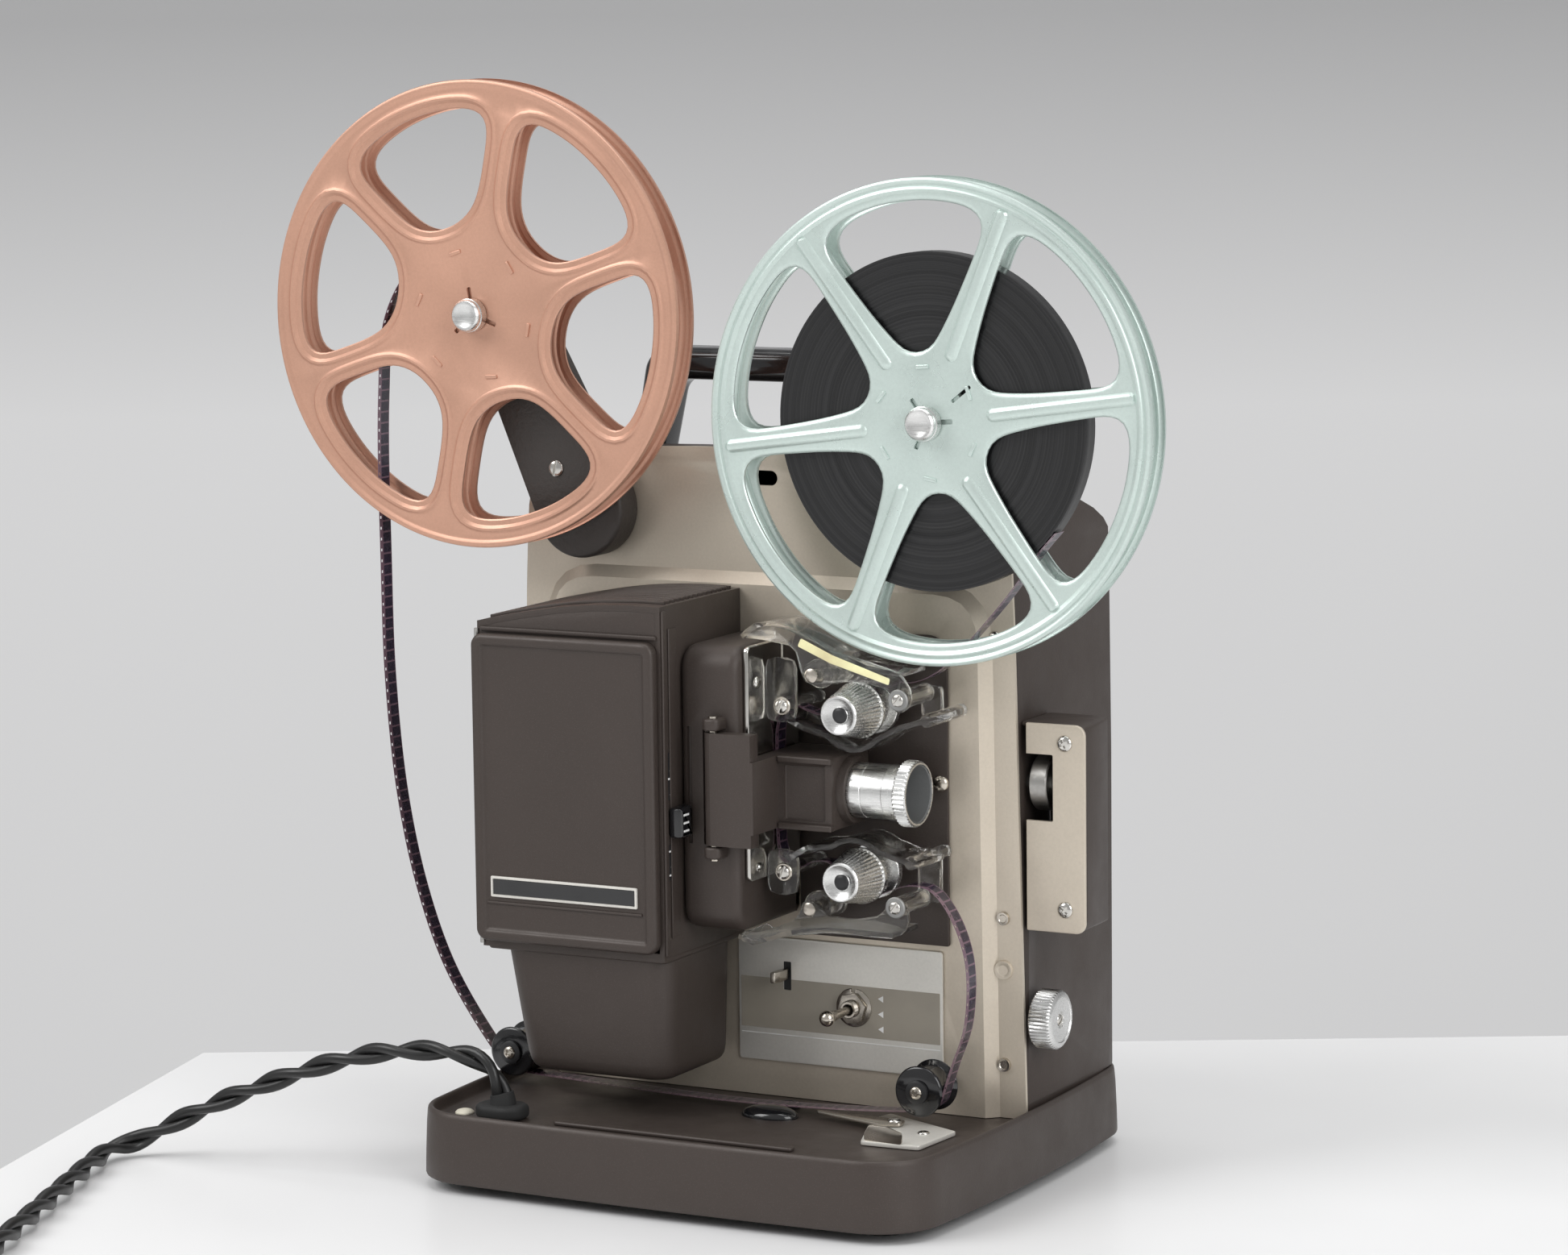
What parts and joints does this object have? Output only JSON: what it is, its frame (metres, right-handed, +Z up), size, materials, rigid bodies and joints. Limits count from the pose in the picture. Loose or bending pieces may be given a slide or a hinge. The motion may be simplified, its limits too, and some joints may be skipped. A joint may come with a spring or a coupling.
{
  "type": "film projector",
  "caption": "Table-top cine film projector with two reels on arms, lamp house, hinged lens carriage, clear film guides, base tray and top handle.",
  "frame": {"origin": "on the table, under the middle of the machine's outline without its mains lead", "axes": "+Z up, -Y out of the operating side, +X the way the lens throws light"},
  "size_m": [0.5194, 0.4522, 0.4123],
  "materials": {
    "brown_paint": "fine textured satin paint",
    "champagne_paint": "metallic champagne paint with a fine speckle",
    "label_aluminium": "brushed, with a printed white and grey band",
    "bright_aluminium": "machined",
    "chrome_plate": "bright plate",
    "bare_steel": "satin",
    "lens_metal": "turned and knurled, blackened inside",
    "gloss_black": "moulded, glossy",
    "black_rubber": "matt",
    "copper_paint": "copper metallic paint, slightly dusty",
    "mint_paint": "mint green metallic paint",
    "film_stock": "dark film with a row of perforations",
    "clear_plastic": "clear moulding",
    "lamp_glass": "clear glass envelope",
    "cord_jacket": "twisted pair, satin",
    "plug_black": "moulded"
  },
  "bodies": {
    "chassis": {"base_tray": "brown_paint", "foot_front_left": "black_rubber", "foot_front_right": "black_rubber", "foot_rear_left": "black_rubber", "foot_rear_right": "black_rubber", "cord_grommet": "black_rubber", "front_panel": "champagne_paint", "mechanism_plate": "brown_paint", "label_plate": "label_aluminium", "rear_shell": "brown_paint", "side_bracket_plate": "champagne_paint", "side_box_cover": "brown_paint", "carry_handle": "gloss_black", "lamp_house": "brown_paint", "lamp_bulb": "lamp_glass", "shutter_housing": "brown_paint", "gate_rail": "chrome_plate", "upper_guide": "clear_plastic", "lower_guide": "clear_plastic", "toggle_body": "chrome_plate", "motor_housing": "bare_steel", "drive_belt": "black_rubber", "roller_post_right": "gloss_black", "roller_post_left": "gloss_black", "film_feed_run": "film_stock", "film_takeup_run": "film_stock", "film_cutter": "bright_aluminium", "mains_cord": "cord_jacket", "cord_coil": "cord_jacket", "mains_plug": "plug_black"},
    "takeup_arm": {"takeup_arm": "brown_paint"},
    "takeup_reel": {"takeup_reel_front": "copper_paint", "takeup_reel_rear": "copper_paint", "takeup_spindle": "bright_aluminium"},
    "supply_arm": {"supply_arm": "brown_paint"},
    "supply_reel": {"supply_reel_front": "mint_paint", "supply_reel_rear": "mint_paint", "supply_spindle": "bright_aluminium", "film_pack": "film_stock"},
    "main_shaft": {"main_shaft": "bare_steel", "shutter_disc": "bare_steel", "inching_wheel": "bare_steel"},
    "motor_rotor": {"motor_rotor": "bare_steel"},
    "upper_sprocket": {"upper_sprocket": "bright_aluminium"},
    "lower_sprocket": {"lower_sprocket": "bright_aluminium"},
    "film_roller_right": {"film_roller_right": "gloss_black"},
    "film_roller_left": {"film_roller_left": "gloss_black"},
    "upper_guide_lever": {"upper_guide_lever": "clear_plastic"},
    "lower_guide_lever": {"lower_guide_lever": "clear_plastic"},
    "upper_lever_roller": {"upper_lever_roller": "clear_plastic"},
    "lower_lever_roller": {"lower_lever_roller": "clear_plastic"},
    "lens_carriage": {"lens_carriage": "brown_paint"},
    "lens_barrel": {"lens_barrel": "lens_metal"},
    "lamp_house_cover": {"lamp_house_cover": "brown_paint"},
    "function_lever": {"function_lever": "gloss_black"},
    "framer_lever": {"framer_lever": "gloss_black"},
    "toggle_lever": {"toggle_lever": "chrome_plate"},
    "tilt_knob": {"tilt_knob": "bright_aluminium"},
    "tilt_foot": {"tilt_foot": "bare_steel"},
    "cutter_blade": {"cutter_blade": "bare_steel"}
  },
  "joints": [
    {"name": "takeup_arm_swing", "type": "hinge", "parent": "chassis", "child": "takeup_arm", "pos_m": [-0.0611, -0.004, 0.249], "axis": [0, -1, 0], "range_deg": [0, 18], "deforming": ["film_takeup_run"]},
    {"name": "takeup_reel_spin", "type": "hinge", "parent": "takeup_arm", "child": "takeup_reel", "pos_m": [-0.0964, -0.02, 0.3233], "axis": [0, -1, 0], "continuous": true},
    {"name": "supply_arm_swing", "type": "hinge", "parent": "chassis", "child": "supply_arm", "pos_m": [0.084, -0.004, 0.249], "axis": [0, -1, 0], "range_deg": [0, 6], "deforming": ["film_feed_run"]},
    {"name": "supply_reel_spin", "type": "hinge", "parent": "supply_arm", "child": "supply_reel", "pos_m": [0.0964, -0.02, 0.2885], "axis": [0, -1, 0], "continuous": true},
    {"name": "main_shaft_turn", "type": "hinge", "parent": "chassis", "child": "main_shaft", "pos_m": [0.06, 0.018, 0.1515], "axis": [1, 0, 0], "continuous": true},
    {"name": "motor_turn", "type": "hinge", "parent": "chassis", "child": "motor_rotor", "pos_m": [0.01, 0.06, 0.07], "axis": [1, 0, 0], "continuous": true},
    {"name": "upper_sprocket_turn", "type": "hinge", "parent": "chassis", "child": "upper_sprocket", "pos_m": [0.0669, -0.03, 0.1815], "axis": [0, 1, 0], "continuous": true},
    {"name": "lower_sprocket_turn", "type": "hinge", "parent": "chassis", "child": "lower_sprocket", "pos_m": [0.0669, -0.03, 0.1195], "axis": [0, 1, 0], "continuous": true},
    {"name": "right_roller_turn", "type": "hinge", "parent": "chassis", "child": "film_roller_right", "pos_m": [0.0905, -0.021, 0.0402], "axis": [0, 1, 0], "continuous": true},
    {"name": "left_roller_turn", "type": "hinge", "parent": "chassis", "child": "film_roller_left", "pos_m": [-0.0846, -0.021, 0.039], "axis": [0, 1, 0], "continuous": true},
    {"name": "upper_guide_lift", "type": "hinge", "parent": "chassis", "child": "upper_guide_lever", "pos_m": [0.088, -0.025, 0.1875], "axis": [0, 1, 0], "range_deg": [0, 2], "stiffness_Nm_per_rad": 0.05, "springref_deg": -20.05},
    {"name": "lower_guide_press", "type": "hinge", "parent": "chassis", "child": "lower_guide_lever", "pos_m": [0.086, -0.025, 0.1105], "axis": [0, -1, 0], "range_deg": [0, 10], "stiffness_Nm_per_rad": 0.05, "springref_deg": -20.05},
    {"name": "upper_lever_roller_turn", "type": "hinge", "parent": "upper_guide_lever", "child": "upper_lever_roller", "pos_m": [0.052, -0.022, 0.1945], "axis": [0, 1, 0], "continuous": true},
    {"name": "lower_lever_roller_turn", "type": "hinge", "parent": "lower_guide_lever", "child": "lower_lever_roller", "pos_m": [0.05, -0.022, 0.107], "axis": [0, 1, 0], "continuous": true},
    {"name": "lens_carriage_swing", "type": "hinge", "parent": "chassis", "child": "lens_carriage", "pos_m": [0.02, -0.0535, 0.15], "axis": [0, 0, -1], "range_deg": [0, 80]},
    {"name": "lens_focus", "type": "slide", "parent": "lens_carriage", "child": "lens_barrel", "axis": [1, 0, 0], "range_m": [-0.003, 0.005]},
    {"name": "lamp_cover_open", "type": "hinge", "parent": "chassis", "child": "lamp_house_cover", "pos_m": [-0.0756, -0.0632, 0.15], "axis": [0, 0, -1], "range_deg": [0, 100]},
    {"name": "function_lever_slide", "type": "slide", "parent": "chassis", "child": "function_lever", "axis": [0, 0, 1], "range_m": [-0.008, 0.012]},
    {"name": "framer_slide", "type": "slide", "parent": "chassis", "child": "framer_lever", "axis": [0, 0, 1], "range_m": [-0.004, 0.004]},
    {"name": "toggle_switch", "type": "hinge", "parent": "chassis", "child": "toggle_lever", "pos_m": [0.0508, -0.0045, 0.0634], "axis": [1, 0, 0], "range_deg": [-12, 12]},
    {"name": "tilt_knob_turn", "type": "hinge", "parent": "chassis", "child": "tilt_knob", "pos_m": [0.12, 0.012, 0.063], "axis": [-1, 0, 0], "range_deg": [0, 86]},
    {"name": "tilt_foot_slide", "type": "slide", "parent": "chassis", "child": "tilt_foot", "axis": [0, 0, -1], "range_m": [0, 0.0097]},
    {"name": "cutter_blade_swing", "type": "hinge", "parent": "chassis", "child": "cutter_blade", "pos_m": [0.082, -0.031, 0.0285], "axis": [0, 0, 1], "range_deg": [0, 10], "stiffness_Nm_per_rad": 0.02, "springref_deg": -20.05}
  ],
  "couplings": [
    {"joint": "motor_turn", "follows": "main_shaft_turn", "ratio": 2},
    {"joint": "upper_sprocket_turn", "follows": "main_shaft_turn", "ratio": -0.083333},
    {"joint": "lower_sprocket_turn", "follows": "main_shaft_turn", "ratio": -0.083333},
    {"joint": "tilt_knob_turn", "follows": "tilt_foot_slide", "rad_per_m": 153.85}
  ]
}
